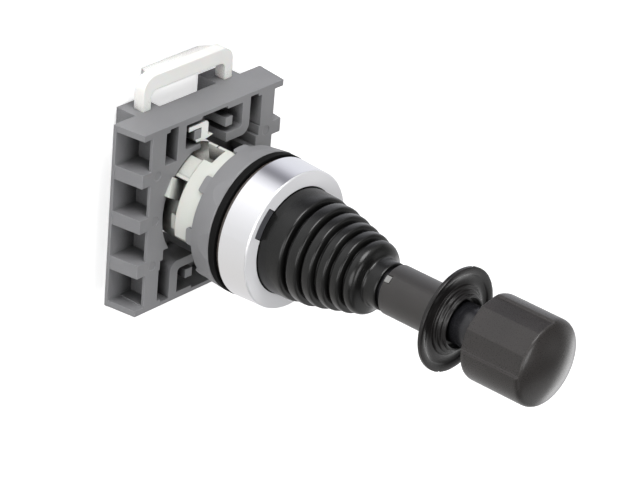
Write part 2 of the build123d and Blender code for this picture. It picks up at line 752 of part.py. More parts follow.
# Contact block holder: plate with ribbed sides, windows, snap arms and two ears at the back
with BuildPart() as holder_frame:
    with BuildSketch(Plane.XY.offset(holder_back)):
        Rectangle(2 * holder_body_x, 2 * holder_half_y)
    extrude(amount=holder_front - holder_back)
    with BuildSketch(Plane.XY.offset(holder_back)):
        Rectangle(2 * flange_back_x, 2 * holder_half_y)
    extrude(amount=back_plate)
    # Top and bottom flanges and three ribs on each side, all tapering towards the front
    slabs = [(holder_half_y - flange_thickness, flange_thickness)]
    slabs += [(step * rib_pitch - rib_thickness / 2, rib_thickness) for step in (-1, 0, 1)]
    slabs += [(-holder_half_y, flange_thickness)]
    for low_y, thickness in slabs:
        with BuildSketch(Plane.XZ.offset(-low_y)):
            with BuildLine():
                Polyline(
                    (-flange_back_x, holder_back),
                    (flange_back_x, holder_back),
                    (flange_front_x, holder_front),
                    (-flange_front_x, holder_front),
                    close=True,
                )
            make_face()
        extrude(amount=-thickness)
    # Opening for the tail, the windows round it and the snap arms left standing between them
    with BuildSketch(Plane.XY.offset(window_floor)) as front_cut:
        Circle(opening_r)
        for side in (-1, 1):
            with Locations((0, side * (window_low_y + window_high_y) / 2)):
                Rectangle(2 * window_half_x, window_high_y - window_low_y)
            with Locations((0, side * (window_notch_y + arm_low_y) / 2)):
                Rectangle(2 * arm_end_x, window_notch_y - arm_low_y)
            for turn in (-1, 1):
                with Locations((turn * (limb_x + slot_x) / 2, side * (slot_low_y + window_high_y) / 2)):
                    Rectangle(slot_x - limb_x, window_high_y - slot_low_y)
                with Locations((turn * (limb_x + slot_notch / 2), side * (slot_low_y + window_notch_y) / 2)):
                    Rectangle(slot_notch, window_notch_y - slot_low_y)
            # Two of the four corners are cut further, which leaves their arms free to flex
            with Locations((side * (arm_end_x + cavity_x) / 2, side * (cavity_y + window_low_y) / 2)):
                Rectangle(cavity_x - arm_end_x, window_low_y - cavity_y)
            cavity_mid_y = (cavity_step_y + slot_low_y) / 2
            with Locations((side * (arm_end_x + cavity_step_x) / 2, side * cavity_mid_y)):
                Rectangle(cavity_step_x - arm_end_x, slot_low_y - cavity_step_y)
            with BuildLine():
                Polyline(
                    (side * arm_end_x, side * arm_low_y),
                    (side * limb_x, side * arm_low_y),
                    (side * limb_x, side * window_notch_y),
                    (side * window_half_x, side * window_notch_y),
                    (side * window_half_x, side * window_low_y),
                    (side * arm_end_x, side * window_low_y),
                    close=True,
                )
            make_face(mode=Mode.SUBTRACT)
            with BuildLine():
                Polyline(
                    (-side * arm_end_x, side * bar_low_y),
                    (-side * limb_x, side * bar_low_y),
                    (-side * limb_x, side * window_notch_y),
                    (-side * window_half_x, side * window_notch_y),
                    (-side * window_half_x, side * window_low_y),
                    (-side * arm_end_x, side * window_low_y),
                    close=True,
                )
            make_face(mode=Mode.SUBTRACT)
        corners = front_cut.vertices().filter_by(
            lambda v: abs(abs(v.X) - limb_x) < 0.01 and abs(abs(v.Y) - arm_low_y) < 0.01
        )
        fillet(corners, arm_bend_r)
        corners = front_cut.vertices().filter_by(
            lambda v: abs(abs(v.X) - window_half_x) < 0.01 and abs(abs(v.Y) - window_low_y) < 0.01
        )
        fillet(corners, arm_root_r)
    extrude(amount=holder_front - window_floor, mode=Mode.SUBTRACT)
    # Passage for the plungers through the back
    with BuildSketch(Plane.XY.offset(holder_back)):
        Circle(passage_r)
    extrude(amount=window_floor - holder_back, mode=Mode.SUBTRACT)
    # Pegs in the windows
    with BuildSketch(Plane.XY.offset(window_floor)):
        with GridLocations(2 * peg_x, 2 * peg_y, 2, 2):
            Rectangle(peg_wide, peg_high)
    extrude(amount=peg_top - window_floor)
    # Recess in the side wall between each pair of ribs
    recess_back = holder_back + back_plate
    recess_front = holder_front - front_strip
    for turn in (-1, 1):
        with BuildSketch(Plane.YZ.offset(turn * holder_body_x)):
            with Locations((0, (recess_back + recess_front) / 2)):
                with GridLocations(rib_pitch, 1, 4, 1):
                    Rectangle(rib_pitch - rib_thickness, recess_front - recess_back)
        extrude(amount=-turn * side_recess_depth, mode=Mode.SUBTRACT)
    # Round ejector marks in the front face, in line with the ribs
    with BuildSketch(Plane.XY.offset(holder_front)):
        with GridLocations(2 * mark_x, rib_pitch, 2, 3):
            Circle(mark_r)
    extrude(amount=-mark_depth, mode=Mode.SUBTRACT)
    # Ears with the guide slots of the locking clip
    with BuildSketch(Plane.XY.offset(ear_back)):
        for turn in (-1, 1):
            with Locations((turn * (ear_inner_x + ear_outer_x) / 2, (ear_low_y + holder_half_y) / 2)):
                Rectangle(ear_outer_x - ear_inner_x, holder_half_y - ear_low_y)
    extrude(amount=holder_back - ear_back)
    with BuildSketch(Plane.XY.offset(leg_back - seat_gap)):
        for turn in (-1, 1):
            with Locations((turn * (leg_inner_x + leg_outer_x) / 2, (ear_low_y + holder_half_y) / 2)):
                Rectangle(leg_outer_x - leg_inner_x + 2 * seat_gap, holder_half_y - ear_low_y + 2)
    extrude(amount=holder_back - leg_back + seat_gap, mode=Mode.SUBTRACT)
holder_frame.part.label = "holder_frame"
export_step(holder_frame.part, "parts/holder_frame.step")


# Index clip: small C-shaped clip round the upper left peg, its nose towards the drum
with BuildPart() as index_clip:
    peg_left = -peg_x - peg_wide / 2
    peg_right = -peg_x + peg_wide / 2 + side_play
    peg_lower = peg_y - peg_high / 2 - side_play
    peg_upper = peg_y + peg_high / 2 + side_play
    stem_x = peg_right + index_width
    with BuildSketch(Plane.XY.offset(index_back)):
        with BuildLine():
            Polyline(
                (peg_left - index_arm, peg_upper),
                (peg_right, peg_upper),
                (peg_right, peg_lower),
                (peg_left + index_foot, peg_lower),
                (peg_left + 2 * index_foot, window_low_y + index_foot),
                (stem_x - index_foot, window_low_y + index_foot),
                (stem_x + index_nose, window_low_y + 2 * index_foot),
                (stem_x + index_nose / 2, peg_lower + side_play),
                (stem_x, peg_lower + side_play),
                (stem_x, peg_upper + index_head / 2),
                (stem_x - index_head / 2, peg_upper + index_head),
                (peg_left - index_arm, peg_upper + index_head),
                close=True,
            )
        make_face()
    extrude(amount=index_height)
index_clip.part.label = "index_clip"
export_step(index_clip.part, "parts/index_clip.step")


# Locking clip: bail with two legs that slide in the ears, barbed at their ends
with BuildPart() as locking_clip:
    with BuildSketch(Plane.XY.offset(leg_back)):
        with BuildLine():
            Polyline(
                (-leg_inner_x, leg_end_y),
                (-leg_inner_x, bail_inner_y),
                (leg_inner_x, bail_inner_y),
                (leg_inner_x, leg_end_y),
                (leg_outer_x, leg_end_y),
                (leg_outer_x + barb_reach, barb_top_y),
                (leg_outer_x, barb_top_y),
                (leg_outer_x, bail_outer_y),
                (-leg_outer_x, bail_outer_y),
                (-leg_outer_x, barb_top_y),
                (-leg_outer_x - barb_reach, barb_top_y),
                (-leg_outer_x, leg_end_y),
                close=True,
            )
        make_face()
    extrude(amount=leg_front - leg_back)
    uprights = locking_clip.edges().filter_by(Axis.Z)
    fillet(uprights.filter_by(lambda edge: abs(edge.center().Y - bail_outer_y) < 0.01), bail_outer_bend)
    uprights = locking_clip.edges().filter_by(Axis.Z)
    fillet(uprights.filter_by(lambda edge: abs(edge.center().Y - bail_inner_y) < 0.01), bail_inner_bend)
    # Finger tab behind the top bar, thinner and narrower towards its rear edge
    with BuildSketch(Plane.YZ):
        with BuildLine():
            Polyline(
                (bail_inner_y + tab_rise, leg_back + 0.5),
                (bail_outer_y, leg_back + 0.5),
                (bail_outer_y - tab_drop, tab_back),
                (bail_inner_y + tab_rise, tab_back),
                close=True,
            )
        make_face()
    extrude(amount=leg_outer_x - bail_outer_bend, both=True)
    with BuildSketch(Plane.XZ.offset(-bail_outer_y)):
        for turn in (-1, 1):
            with BuildLine():
                Polyline(
                    (turn * (leg_outer_x - bail_outer_bend + 0.1), leg_back - 0.2),
                    (turn * tab_half_width, tab_back - 0.1),
                    (turn * (leg_outer_x + 1), tab_back - 0.1),
                    (turn * (leg_outer_x + 1), leg_back - 0.2),
                    close=True,
                )
            make_face()
    extrude(amount=bail_outer_y - bail_inner_y, mode=Mode.SUBTRACT)
locking_clip.part.label = "locking_clip"
export_step(locking_clip.part, "parts/locking_clip.step")
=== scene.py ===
import bpy
from math import cos, pi, radians, sin
from mathutils import Matrix, Vector


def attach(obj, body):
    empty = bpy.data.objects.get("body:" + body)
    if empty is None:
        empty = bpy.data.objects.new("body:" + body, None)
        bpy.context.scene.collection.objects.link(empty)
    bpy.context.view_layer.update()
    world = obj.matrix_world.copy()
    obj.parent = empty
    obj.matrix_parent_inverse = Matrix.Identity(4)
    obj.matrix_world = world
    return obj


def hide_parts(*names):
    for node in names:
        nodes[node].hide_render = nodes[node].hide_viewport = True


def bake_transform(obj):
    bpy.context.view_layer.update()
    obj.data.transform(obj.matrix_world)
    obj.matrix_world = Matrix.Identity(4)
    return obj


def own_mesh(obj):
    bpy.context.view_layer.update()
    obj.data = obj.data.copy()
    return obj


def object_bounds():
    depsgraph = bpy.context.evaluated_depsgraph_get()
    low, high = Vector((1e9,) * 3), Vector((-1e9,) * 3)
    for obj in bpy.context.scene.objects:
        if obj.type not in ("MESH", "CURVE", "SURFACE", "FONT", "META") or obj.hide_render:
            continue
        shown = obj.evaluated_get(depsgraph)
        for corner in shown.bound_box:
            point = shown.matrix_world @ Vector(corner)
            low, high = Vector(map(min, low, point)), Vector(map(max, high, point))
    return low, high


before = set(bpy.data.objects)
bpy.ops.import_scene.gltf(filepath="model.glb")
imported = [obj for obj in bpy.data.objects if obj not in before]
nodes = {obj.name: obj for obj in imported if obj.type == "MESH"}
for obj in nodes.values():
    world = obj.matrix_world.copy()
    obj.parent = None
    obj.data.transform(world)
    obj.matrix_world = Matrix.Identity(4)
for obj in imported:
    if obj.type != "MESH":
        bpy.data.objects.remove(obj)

solid_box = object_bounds()


# The camera stands in front of the panel, a little above the lever, and looks along it at a slant.
# It is rolled, so that the side with the locking clip is up in the picture.
across = Vector((0.66218525, 0.07722918, 0.74534982))
upward = Vector((0.30936540, 0.87777300, -0.36579723))
towards = Vector((-0.68249817, 0.47281097, 0.55735629))
lens = bpy.data.cameras.new("photo_camera")
lens.sensor_width = 36.0
lens.lens = 185.49
lens.clip_start = 0.05
camera = bpy.data.objects.new("photo_camera", lens)
bpy.context.scene.collection.objects.link(camera)
camera.matrix_world = Matrix.Translation((-0.43598, 0.30462, 0.37161)) @ Matrix(
    (across, upward, towards)).transposed().to_4x4()
bpy.context.scene.camera = camera
bpy.context.scene.view_settings.view_transform = "Standard"

# A white tent: even light from all sides, one broad soft lamp over the clip side of the object,
# one on the left of the camera, one before the panel and one whose sheen falls on the knob. The
# camera sees the tent as plain white; glossy pieces mirror its cloth, which is uneven.
tent = bpy.data.worlds.new("white_tent")
bpy.context.scene.world = tent
tent.use_nodes = True
tent_nodes, tent_links = tent.node_tree.nodes, tent.node_tree.links
tent_nodes.clear()
white = (1.0, 1.0, 1.0, 1.0)
seen = tent_nodes.new("ShaderNodeLightPath")
even_light = tent_nodes.new("ShaderNodeBackground")
even_light.inputs["Color"].default_value = white
even_light.inputs["Strength"].default_value = 0.20
cloth_place = tent_nodes.new("ShaderNodeTexCoord")
cloth_noise = tent_nodes.new("ShaderNodeTexNoise")
cloth_noise.inputs["Scale"].default_value = 1.6
cloth_noise.inputs["Detail"].default_value = 1.0
cloth_level = tent_nodes.new("ShaderNodeMapRange")
cloth_level.inputs["From Min"].default_value = 0.40
cloth_level.inputs["From Max"].default_value = 0.60
cloth_level.inputs["To Min"].default_value = 0.25
cloth_level.inputs["To Max"].default_value = 0.85
cloth = tent_nodes.new("ShaderNodeBackground")
cloth.inputs["Color"].default_value = white
white_sheet = tent_nodes.new("ShaderNodeBackground")
white_sheet.inputs["Color"].default_value = white
white_sheet.inputs["Strength"].default_value = 1.0
mirror_mix = tent_nodes.new("ShaderNodeMixShader")
tent_mix = tent_nodes.new("ShaderNodeMixShader")
tent_out = tent_nodes.new("ShaderNodeOutputWorld")
for source, output, target, socket in (
    (cloth_place, "Generated", cloth_noise, "Vector"),
    (cloth_noise, "Fac", cloth_level, "Value"),
    (cloth_level, "Result", cloth, "Strength"),
    (seen, "Is Glossy Ray", mirror_mix, "Fac"),
    (even_light, 0, mirror_mix, 1),
    (cloth, 0, mirror_mix, 2),
    (seen, "Is Camera Ray", tent_mix, "Fac"),
    (mirror_mix, 0, tent_mix, 1),
    (white_sheet, 0, tent_mix, 2),
    (tent_mix, 0, tent_out, "Surface"),
):
    tent_links.new(source.outputs[output], target.inputs[socket])

lamp_target = Vector((0.0, 0.0, 0.02))
for lamp_name, place, width, power in (
    ("top_lamp", (-0.10, 0.66, 0.24), 0.45, 3.9),
    ("side_lamp", (-0.66, 0.10, 0.20), 0.50, 2.0),
    ("front_lamp", (-0.22, 0.12, 0.66), 0.40, 1.6),
    ("knob_lamp", (0.58, -0.40, 0.12), 0.40, 0.7),
):
    lamp_data = bpy.data.lights.new(lamp_name, "AREA")
    lamp_data.shape = "DISK"
    lamp_data.size = width
    lamp_data.energy = power
    lamp = bpy.data.objects.new(lamp_name, lamp_data)
    bpy.context.scene.collection.objects.link(lamp)
    lamp.matrix_world = Matrix.Translation(place) @ (
        Vector(place) - lamp_target).to_track_quat("Z", "Y").to_matrix().to_4x4()

# The floor is a sheet of pale card that the back of the holder stands on. Glossy rays see it as a
# painted reflection instead: a glow in bright and dark sectors, as the lamps and flags round a
# photographer's table give.
bpy.ops.object.select_all(action="DESELECT")
floor_gap = 0.0002
bpy.ops.mesh.primitive_plane_add(size=6.0, location=(0.0, 0.0, solid_box[0][2] - floor_gap))
floor = bpy.context.active_object
floor.name = "floor_card"
bpy.ops.object.mode_set(mode="EDIT")
bpy.ops.mesh.subdivide(number_cuts=4)
bpy.ops.object.mode_set(mode="OBJECT")
bpy.ops.object.transform_apply(location=True)
card = bpy.data.materials.new("pale_card")
card.use_nodes = True
card_nodes, card_links = card.node_tree.nodes, card.node_tree.links
card_shader = card_nodes["Principled BSDF"]
card_shader.inputs["Base Color"].default_value = (0.93, 0.93, 0.93, 1.0)
card_shader.inputs["Roughness"].default_value = 0.9
card_shader.inputs["Specular IOR Level"].default_value = 0.0
card_seen = card_nodes.new("ShaderNodeLightPath")
card_glow = card_nodes.new("ShaderNodeEmission")
card_glow.inputs["Strength"].default_value = 0.62
card_none = card_nodes.new("ShaderNodeEmission")
card_none.inputs["Strength"].default_value = 0.0
# Painted reflection: a ring of bright and dark sectors round the object, seen only by glossy rays.
card_place = card_nodes.new("ShaderNodeTexCoord")
card_turn = card_nodes.new("ShaderNodeTexGradient")
card_turn.gradient_type = "RADIAL"
card_ramp = card_nodes.new("ShaderNodeValToRGB")
card_ramp.color_ramp.interpolation = "B_SPLINE"
for end in card_ramp.color_ramp.elements:
    end.color = (0.55, 0.55, 0.55, 1.0)
for turn_share, tone in (
    (0.17, (0.46, 0.45, 0.43)),
    (0.42, (0.55, 0.55, 0.57)),
    (0.59, (0.56, 0.57, 0.60)),
    (0.65, (0.50, 0.50, 0.54)),
    (0.70, (0.04, 0.04, 0.05)),
    (0.74, (0.50, 0.50, 0.53)),
    (0.80, (0.95, 0.95, 0.96)),
    (0.86, (0.74, 0.74, 0.75)),
    (0.95, (0.57, 0.57, 0.57)),
):
    card_ramp.color_ramp.elements.new(turn_share).color = (*tone, 1.0)
card_painted_reflection = card_nodes.new("ShaderNodeEmission")
card_painted_reflection.inputs["Strength"].default_value = 1.6
card_other = card_nodes.new("ShaderNodeMixShader")
card_pick = card_nodes.new("ShaderNodeMixShader")
card_sum = card_nodes.new("ShaderNodeAddShader")
for source, output, target, socket in (
    (card_place, "Object", card_turn, "Vector"),
    (card_turn, "Fac", card_ramp, "Fac"),
    (card_ramp, "Color", card_painted_reflection, "Color"),
    (card_seen, "Is Camera Ray", card_pick, "Fac"),
    (card_none, 0, card_pick, 1),
    (card_glow, 0, card_pick, 2),
    (card_shader, 0, card_sum, 0),
    (card_pick, 0, card_sum, 1),
    (card_seen, "Is Glossy Ray", card_other, "Fac"),
    (card_sum, 0, card_other, 1),
    (card_painted_reflection, 0, card_other, 2),
    (card_other, 0, card_nodes["Material Output"], "Surface"),
):
    card_links.new(source.outputs[output], target.inputs[socket])
floor.data.materials.append(card)


# The contact block holder is one injection moulding in grey glass-filled nylon. It has a fine
# matt skin, slightly lighter where the mould was polished; a painted highlight lightens its broken
# edges and painted shade darkens it deep in its slots.
# This skin mixes real grain and clouding with painted light: a painted highlight on edges and painted
# shade in hollows.
skin_with_painted_light = bpy.data.node_groups.new("skin_with_painted_light", "ShaderNodeTree")
for label, kind, start in (
    ("Tint", "NodeSocketColor", (0.5, 0.5, 0.5, 1.0)),
    ("Cloud", "NodeSocketColor", (0.4, 0.4, 0.4, 1.0)),
    ("Edge Tint", "NodeSocketColor", (0.6, 0.6, 0.6, 1.0)),
    ("Grain Scale", "NodeSocketFloat", 2500.0),
    ("Grain Depth", "NodeSocketFloat", 0.1),
    ("Smooth", "NodeSocketFloat", 0.4),
    ("Rough", "NodeSocketFloat", 0.6),
    ("Edge Radius", "NodeSocketFloat", 0.0001),
    ("Shade", "NodeSocketFloat", 0.05),
):
    skin_with_painted_light.interface.new_socket(label, in_out="INPUT", socket_type=kind).default_value = start
for label, kind in (("Colour", "NodeSocketColor"), ("Roughness", "NodeSocketFloat"),
                    ("Normal", "NodeSocketVector")):
    skin_with_painted_light.interface.new_socket(label, in_out="OUTPUT", socket_type=kind)
skin_nodes, skin_links = skin_with_painted_light.nodes, skin_with_painted_light.links
skin_in = skin_nodes.new("NodeGroupInput")
skin_out = skin_nodes.new("NodeGroupOutput")
skin_place = skin_nodes.new("ShaderNodeTexCoord")
skin_grain = skin_nodes.new("ShaderNodeTexNoise")
skin_grain.inputs["Detail"].default_value = 3.0
skin_cloud = skin_nodes.new("ShaderNodeTexNoise")
skin_cloud.inputs["Scale"].default_value = 90.0
skin_cloud.inputs["Detail"].default_value = 4.0
skin_cloud_range = skin_nodes.new("ShaderNodeMapRange")
skin_cloud_range.inputs["From Min"].default_value = 0.35
skin_cloud_range.inputs["From Max"].default_value = 0.65
skin_colour = skin_nodes.new("ShaderNodeMix")
skin_colour.data_type = "RGBA"
skin_rough = skin_nodes.new("ShaderNodeMapRange")
skin_round = skin_nodes.new("ShaderNodeBevel")
skin_round.samples = 4
skin_flat = skin_nodes.new("ShaderNodeNewGeometry")
skin_turn = skin_nodes.new("ShaderNodeVectorMath")
skin_turn.operation = "DOT_PRODUCT"
# Painted highlight: near edges, where the rounded normal turns from the flat one, the colour goes
# towards a lighter edge colour.
skin_highlight_mask = skin_nodes.new("ShaderNodeMapRange")
skin_highlight_mask.inputs["From Min"].default_value = 0.995
skin_highlight_mask.inputs["From Max"].default_value = 0.85
skin_painted_highlight = skin_nodes.new("ShaderNodeMix")
skin_painted_highlight.data_type = "RGBA"
# Painted shade: the colour darkens towards Shade where ambient occlusion finds other surfaces close by,
# in slots, corners and hollows.
skin_occlusion = skin_nodes.new("ShaderNodeAmbientOcclusion")
skin_occlusion.samples = 6
skin_occlusion.inputs["Distance"].default_value = 0.007
skin_painted_shade = skin_nodes.new("ShaderNodeMapRange")
skin_painted_shade.inputs["From Min"].default_value = 0.22
skin_painted_shade.inputs["From Max"].default_value = 0.5
skin_shaded = skin_nodes.new("ShaderNodeVectorMath")
skin_shaded.operation = "SCALE"
skin_bump = skin_nodes.new("ShaderNodeBump")
skin_bump.inputs["Distance"].default_value = 0.0001
for source, output, target, socket in (
    (skin_place, "Object", skin_grain, "Vector"),
    (skin_place, "Object", skin_cloud, "Vector"),
    (skin_in, "Grain Scale", skin_grain, "Scale"),
    (skin_cloud, "Fac", skin_cloud_range, "Value"),
    (skin_cloud_range, "Result", skin_colour, "Factor"),
    (skin_in, "Tint", skin_colour, "A"),
    (skin_in, "Cloud", skin_colour, "B"),
    (skin_grain, "Fac", skin_rough, "Value"),
    (skin_in, "Smooth", skin_rough, "To Min"),
    (skin_in, "Rough", skin_rough, "To Max"),
    (skin_in, "Edge Radius", skin_round, "Radius"),
    (skin_round, "Normal", skin_turn, 0),
    (skin_flat, "Normal", skin_turn, 1),
    (skin_turn, "Value", skin_highlight_mask, "Value"),
    (skin_highlight_mask, "Result", skin_painted_highlight, "Factor"),
    (skin_colour, "Result", skin_painted_highlight, "A"),
    (skin_in, "Edge Tint", skin_painted_highlight, "B"),
    (skin_grain, "Fac", skin_bump, "Height"),
    (skin_in, "Grain Depth", skin_bump, "Strength"),
    (skin_round, "Normal", skin_bump, "Normal"),
    (skin_occlusion, "AO", skin_painted_shade, "Value"),
    (skin_in, "Shade", skin_painted_shade, "To Min"),
    (skin_painted_highlight, "Result", skin_shaded, 0),
    (skin_painted_shade, "Result", skin_shaded, "Scale"),
    (skin_shaded, "Vector", skin_out, "Colour"),
    (skin_rough, "Result", skin_out, "Roughness"),
    (skin_bump, "Normal", skin_out, "Normal"),
):
    skin_links.new(source.outputs[output], target.inputs[socket])


def moulded(name, tint, cloud, edge_highlight, smooth, rough, grain_scale, grain_depth, edge_radius):
    """A material with the moulded skin: three colours (tint, cloud and a painted edge highlight), two
    roughnesses, the grain and edge radius; its hollows get painted shade.
    """
    material = bpy.data.materials.new(name)
    material.use_nodes = True
    shader = material.node_tree.nodes["Principled BSDF"]
    skin = material.node_tree.nodes.new("ShaderNodeGroup")
    skin.node_tree = skin_with_painted_light
    for label, value in (("Tint", tint), ("Cloud", cloud), ("Edge Tint", edge_highlight)):
        skin.inputs[label].default_value = (*value, 1.0)
    for label, value in (("Smooth", smooth), ("Rough", rough), ("Grain Scale", grain_scale),
                         ("Grain Depth", grain_depth), ("Edge Radius", edge_radius)):
        skin.inputs[label].default_value = value
    material.node_tree.links.new(skin.outputs["Colour"], shader.inputs["Base Color"])
    material.node_tree.links.new(skin.outputs["Roughness"], shader.inputs["Roughness"])
    material.node_tree.links.new(skin.outputs["Normal"], shader.inputs["Normal"])
    return material


def dress(piece, material):
    """Give the piece this material alone."""
    piece.data.materials.clear()
    piece.data.materials.append(material)


holder_grey = moulded("holder_grey", (0.228, 0.228, 0.235), (0.207, 0.207, 0.215), (0.31, 0.31, 0.32),
                      0.42, 0.62, 4200.0, 0.12, 0.00018)
dress(nodes["holder_frame"], holder_grey)


# The locking clip and the small index clip are moulded in natural white acetal, smooth and a
# little waxy. The locking clip slides in the ears of the holder, the index clip grips a peg.
acetal_white = moulded("acetal_white", (0.86, 0.86, 0.835), (0.83, 0.83, 0.80), (0.90, 0.90, 0.88),
                       0.30, 0.42, 3000.0, 0.05, 0.0003)
acetal_shader = acetal_white.node_tree.nodes["Principled BSDF"]
acetal_shader.inputs["Subsurface Weight"].default_value = 0.15
acetal_shader.inputs["Subsurface Scale"].default_value = 0.001
for node_name in ("locking_clip", "index_clip"):
    dress(nodes[node_name], acetal_white)


# The body behind the panel is a pale greenish white moulding: neck, drum with latching pockets
# and the tail that the holder snaps on. The guide plate and the rear cap are of the same plastic.
body_white = moulded("body_white", (0.63, 0.64, 0.60), (0.60, 0.61, 0.57), (0.72, 0.73, 0.69),
                     0.35, 0.5, 3200.0, 0.08, 0.0002)
body_shader = body_white.node_tree.nodes["Principled BSDF"]
body_shader.inputs["Subsurface Weight"].default_value = 0.1
body_shader.inputs["Subsurface Scale"].default_value = 0.001
for node_name in ("body_bushing", "guide_plate", "rear_cap"):
    dress(nodes[node_name], body_white)


# The clamping ring is moulded in grey glass-filled nylon. It's screwed on the neck behind the
# panel, by its eight castellations.
ring_grey = moulded("ring_grey", (0.218, 0.218, 0.225), (0.198, 0.198, 0.205), (0.29, 0.29, 0.30),
                    0.42, 0.6, 4200.0, 0.12, 0.0002)
dress(nodes["clamp_nut"], ring_grey)


# The gasket is a flat ring of soft black rubber that seals on the panel. The base ring in front
# of it is dark brown-grey plastic, slipped on the neck under the bezel.
gasket_black = moulded("gasket_black", (0.006, 0.006, 0.006), (0.009, 0.009, 0.009),
                       (0.012, 0.012, 0.012), 0.6, 0.8, 2500.0, 0.15, 0.0001)
gasket_black.node_tree.nodes["Principled BSDF"].inputs["Specular IOR Level"].default_value = 0.06
dress(nodes["seat_gasket"], gasket_black)
base_brown = moulded("base_brown", (0.070, 0.058, 0.050), (0.060, 0.050, 0.044), (0.16, 0.135, 0.12),
                     0.12, 0.22, 3000.0, 0.06, 0.0001)
dress(nodes["base_ring"], base_brown)


# The bezel is a turned ring with a bright chromium plate; faint turning lines run round it. Its
# face towards the boot is left satin, so it mirrors nothing sharply.
chromium = bpy.data.materials.new("chromium")
chromium.use_nodes = True
plate_nodes, plate_links = chromium.node_tree.nodes, chromium.node_tree.links
plate = plate_nodes["Principled BSDF"]
plate.inputs["Base Color"].default_value = (0.84, 0.84, 0.86, 1.0)
plate_place = plate_nodes.new("ShaderNodeTexCoord")
plate_split = plate_nodes.new("ShaderNodeSeparateXYZ")
plate_lines = plate_nodes.new("ShaderNodeTexNoise")
plate_lines.noise_dimensions = "1D"
plate_lines.inputs["Scale"].default_value = 6000.0
plate_rough = plate_nodes.new("ShaderNodeMapRange")
plate_rough.inputs["To Min"].default_value = 0.05
plate_rough.inputs["To Max"].default_value = 0.14
plate_round = plate_nodes.new("ShaderNodeBevel")
plate_round.inputs["Radius"].default_value = 0.00015
plate_bump = plate_nodes.new("ShaderNodeBump")
plate_bump.inputs["Strength"].default_value = 0.03
plate_bump.inputs["Distance"].default_value = 0.00002
for source, output, target, socket in (
    (plate_place, "Object", plate_split, "Vector"),
    (plate_split, "Z", plate_lines, "W"),
    (plate_lines, "Fac", plate_rough, "Value"),
    (plate_lines, "Fac", plate_bump, "Height"),
    (plate_round, "Normal", plate_bump, "Normal"),
):
    plate_links.new(source.outputs[output], target.inputs[socket])
plate_turn = plate_nodes.new("ShaderNodeSeparateXYZ")
plate_flat = plate_nodes.new("ShaderNodeMapRange")
plate_flat.inputs["From Min"].default_value = 0.5
plate_flat.inputs["From Max"].default_value = 0.95
plate_flat.inputs["To Min"].default_value = 0.0
plate_flat.inputs["To Max"].default_value = 0.5
plate_sum = plate_nodes.new("ShaderNodeMath")
plate_sum.operation = "ADD"
plate_bright = plate_nodes.new("ShaderNodeMapRange")
plate_bright.inputs["From Min"].default_value = 0.5
plate_bright.inputs["From Max"].default_value = 0.95
plate_bright.inputs["To Min"].default_value = 1.0
plate_bright.inputs["To Max"].default_value = 0.15
for source, output, target, socket in (
    (plate_place, "Normal", plate_turn, "Vector"),
    (plate_turn, "Z", plate_flat, "Value"),
    (plate_turn, "Z", plate_bright, "Value"),
    (plate_bright, "Result", plate, "Metallic"),
    (plate_flat, "Result", plate_sum, 0),
    (plate_rough, "Result", plate_sum, 1),
    (plate_sum, 0, plate, "Roughness"),
    (plate_bump, "Normal", plate, "Normal"),
):
    plate_links.new(source.outputs[output], target.inputs[socket])
dress(nodes["bezel_ring"], chromium)


# The clamp ring is moulded in dark grey nylon and holds the boot's flange down under the bezel.
# Its two tabs lie in the bezel's windows.
clamp_grey = moulded("clamp_grey", (0.075, 0.075, 0.083), (0.065, 0.065, 0.073), (0.12, 0.12, 0.13),
                     0.40, 0.58, 3500.0, 0.1, 0.0001)
dress(nodes["boot_clamp"], clamp_grey)


# The boot is moulded in black rubber with a soft gloss: a straight base, four round folds, a dome
# and a neck that grips the guide tube. It is made in two lengths that meet at the bottom of a
# groove.
def turned(name, rings, steps):
    """A tube drawn up from a circle, one ring after another; rings holds (radius, height) in mm."""
    bpy.ops.object.select_all(action="DESELECT")
    first_r, first_z = rings[0]
    bpy.ops.mesh.primitive_circle_add(vertices=steps, radius=first_r / 1000,
                                      location=(0.0, 0.0, first_z / 1000))
    piece = bpy.context.active_object
    piece.name = name
    bpy.ops.object.transform_apply(location=True)
    bpy.ops.object.mode_set(mode="EDIT")
    bpy.ops.mesh.select_mode(type="EDGE")
    bpy.ops.mesh.select_all(action="SELECT")
    for (old_r, old_z), (new_r, new_z) in zip(rings, rings[1:]):
        bpy.ops.mesh.extrude_edges_move(
            TRANSFORM_OT_translate={"value": (0.0, 0.0, (new_z - old_z) / 1000)})
        bpy.ops.transform.resize(value=(new_r / old_r, new_r / old_r, 1.0),
                                 center_override=(0.0, 0.0, new_z / 1000))
    bpy.ops.object.mode_set(mode="OBJECT")
    return piece


join_distance = 0.000001


def apply_all(piece):
    """Apply every modifier of the piece, in order."""
    bpy.ops.object.select_all(action="DESELECT")
    piece.select_set(True)
    bpy.context.view_layer.objects.active = piece
    for modifier in list(piece.modifiers):
        bpy.ops.object.modifier_apply(modifier=modifier.name)


def outwards(piece):
    """Join the rings that meet in one point and turn all faces outwards."""
    bpy.ops.object.select_all(action="DESELECT")
    piece.select_set(True)
    bpy.context.view_layer.objects.active = piece
    bpy.ops.object.mode_set(mode="EDIT")
    bpy.ops.mesh.select_all(action="SELECT")
    bpy.ops.mesh.remove_doubles(threshold=join_distance)
    bpy.ops.mesh.normals_make_consistent(inside=False)
    bpy.ops.object.mode_set(mode="OBJECT")


